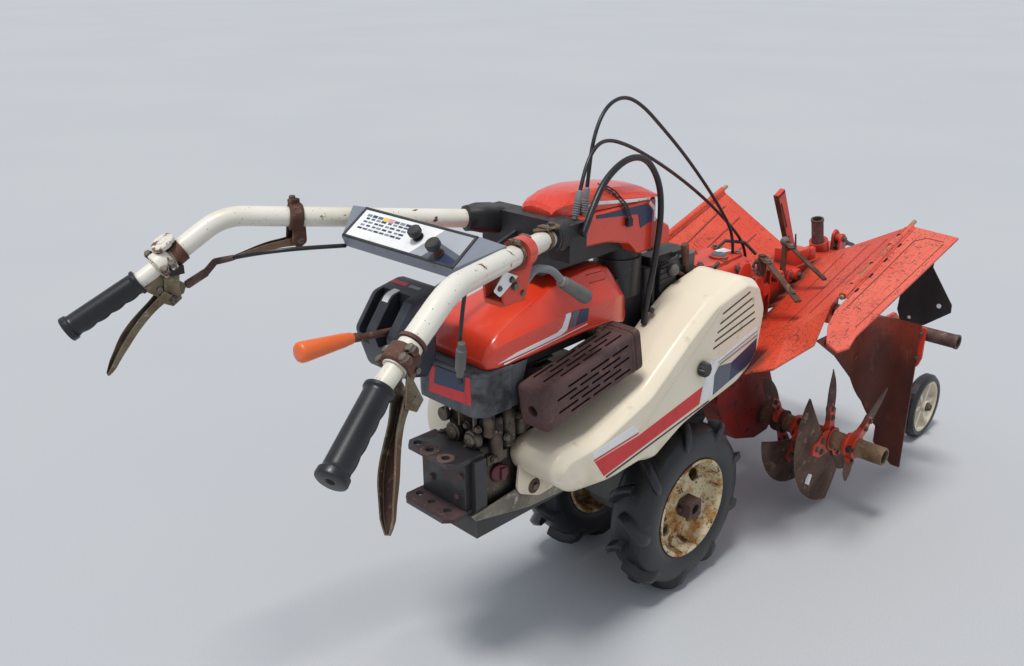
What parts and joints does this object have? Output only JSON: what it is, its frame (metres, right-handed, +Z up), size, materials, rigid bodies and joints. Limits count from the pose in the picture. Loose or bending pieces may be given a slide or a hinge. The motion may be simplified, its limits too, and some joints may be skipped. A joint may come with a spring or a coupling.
{
  "type": "walk-behind cultivator",
  "caption": "Two-wheel walk-behind cultivator with engine, belt cover, swinging handle and a rear ridging rotor under a winged hood.",
  "frame": {"origin": "ground under the middle of the machine's box, cables left out", "axes": "+X ahead to the engine and hitch, +Y to the side of the belt cover, +Z up"},
  "size_m": [2.1756, 0.739, 1.0517],
  "materials": {
    "red_paint": "gloss, weathered",
    "dark_red_paint": "worn",
    "cream_paint": "satin, scuffed",
    "white_paint": "gloss, rust spots",
    "black_paint": "satin",
    "pale_plate": "satin",
    "grey_plastic": "matt",
    "black_plastic": "matt",
    "console_face": "satin",
    "grip_rubber": "matt",
    "tyre_rubber": "matt",
    "flap_rubber": "matt",
    "cable_cover": "satin",
    "rim_paint": "rusted",
    "rusty_steel": "rusted",
    "worn_steel": "worn",
    "engine_alloy": "dusty",
    "muffler_rust": "rusted",
    "orange_grip": "satin"
  },
  "bodies": {
    "chassis": {"transmission_case": "grey_plastic", "engine_frame": "black_paint", "front_hitch": "black_paint", "belt_cover_stay": "pale_plate", "engine_block": "engine_alloy", "front_shroud": "grey_plastic", "engine_cover": "red_paint", "starter_housing": "cream_paint", "muffler": "muffler_rust", "belt_cover": "cream_paint", "belt_cover_knob": "black_plastic", "handle_post": "black_paint", "post_panels": "grey_plastic", "gear_lever": "worn_steel", "drive_case": "red_paint", "rotor_leg": "dark_red_paint", "hood_beam": "red_paint", "hood_brackets": "red_paint", "depth_tube": "worn_steel", "hood": "red_paint", "hinge_rods": "pale_plate", "mouldboards": "rusty_steel", "cross_tube": "worn_steel", "gauge_arm": "red_paint"},
    "handle": {"handle_base": "black_paint", "base_cover": "red_paint", "handlebars": "white_paint", "grips": "grip_rubber", "side_levers": "rusty_steel", "console": "console_face", "console_knobs": "black_plastic", "lever_gate": "black_plastic", "clutch_lever": "orange_grip", "shift_gate": "red_paint", "shift_lever": "worn_steel", "throttle_rod": "worn_steel", "bar_clamp": "rusty_steel", "bar_cap": "white_paint", "cable_lever": "cable_cover", "cable_high": "cable_cover", "cable_low": "cable_cover", "cable_thick": "cable_cover"},
    "left_wheel": {"tyre_left": "tyre_rubber", "rim_left": "rim_paint", "hub_left": "rusty_steel"},
    "right_wheel": {"tyre_right": "tyre_rubber", "rim_right": "rim_paint", "hub_right": "rusty_steel"},
    "rotor": {"rotor_shaft": "worn_steel", "rotor_blades": "rusty_steel"},
    "gauge_wheel": {"gauge_rim": "cream_paint", "gauge_tyre": "tyre_rubber"},
    "left_wing": {"wing_left": "red_paint", "wing_flap": "flap_rubber"},
    "right_wing": {"wing_right": "red_paint"}
  },
  "joints": [
    {"name": "left_wheel_spin", "type": "hinge", "parent": "chassis", "child": "left_wheel", "pos_m": [0.04915, 0.1095, 0.195], "axis": [0, 1, 0], "continuous": true},
    {"name": "right_wheel_spin", "type": "hinge", "parent": "chassis", "child": "right_wheel", "pos_m": [0.04915, -0.1385, 0.195], "axis": [0, 1, 0], "continuous": true},
    {"name": "rotor_spin", "type": "hinge", "parent": "chassis", "child": "rotor", "pos_m": [-0.45585, -0.0145, 0.19], "axis": [0, 1, 0], "continuous": true},
    {"name": "gauge_wheel_spin", "type": "hinge", "parent": "chassis", "child": "gauge_wheel", "pos_m": [-0.99585, 0.1955, 0.092], "axis": [0, 1, 0], "continuous": true},
    {"name": "handle_swing", "type": "hinge", "parent": "chassis", "child": "handle", "pos_m": [0.12415, -0.0145, 0.736], "axis": [0, 0, 1], "range_deg": [-8, 30], "deforming": ["cable_high", "cable_low", "cable_thick"]},
    {"name": "left_wing_fold", "type": "hinge", "parent": "chassis", "child": "left_wing", "pos_m": [-0.47485, 0.2435, 0.64484], "axis": [0.9496, 0, -0.3134], "range_deg": [0, 80]},
    {"name": "right_wing_fold", "type": "hinge", "parent": "chassis", "child": "right_wing", "pos_m": [-0.47485, -0.2725, 0.64484], "axis": [-0.9496, 0, 0.3134], "range_deg": [0, 150]}
  ]
}
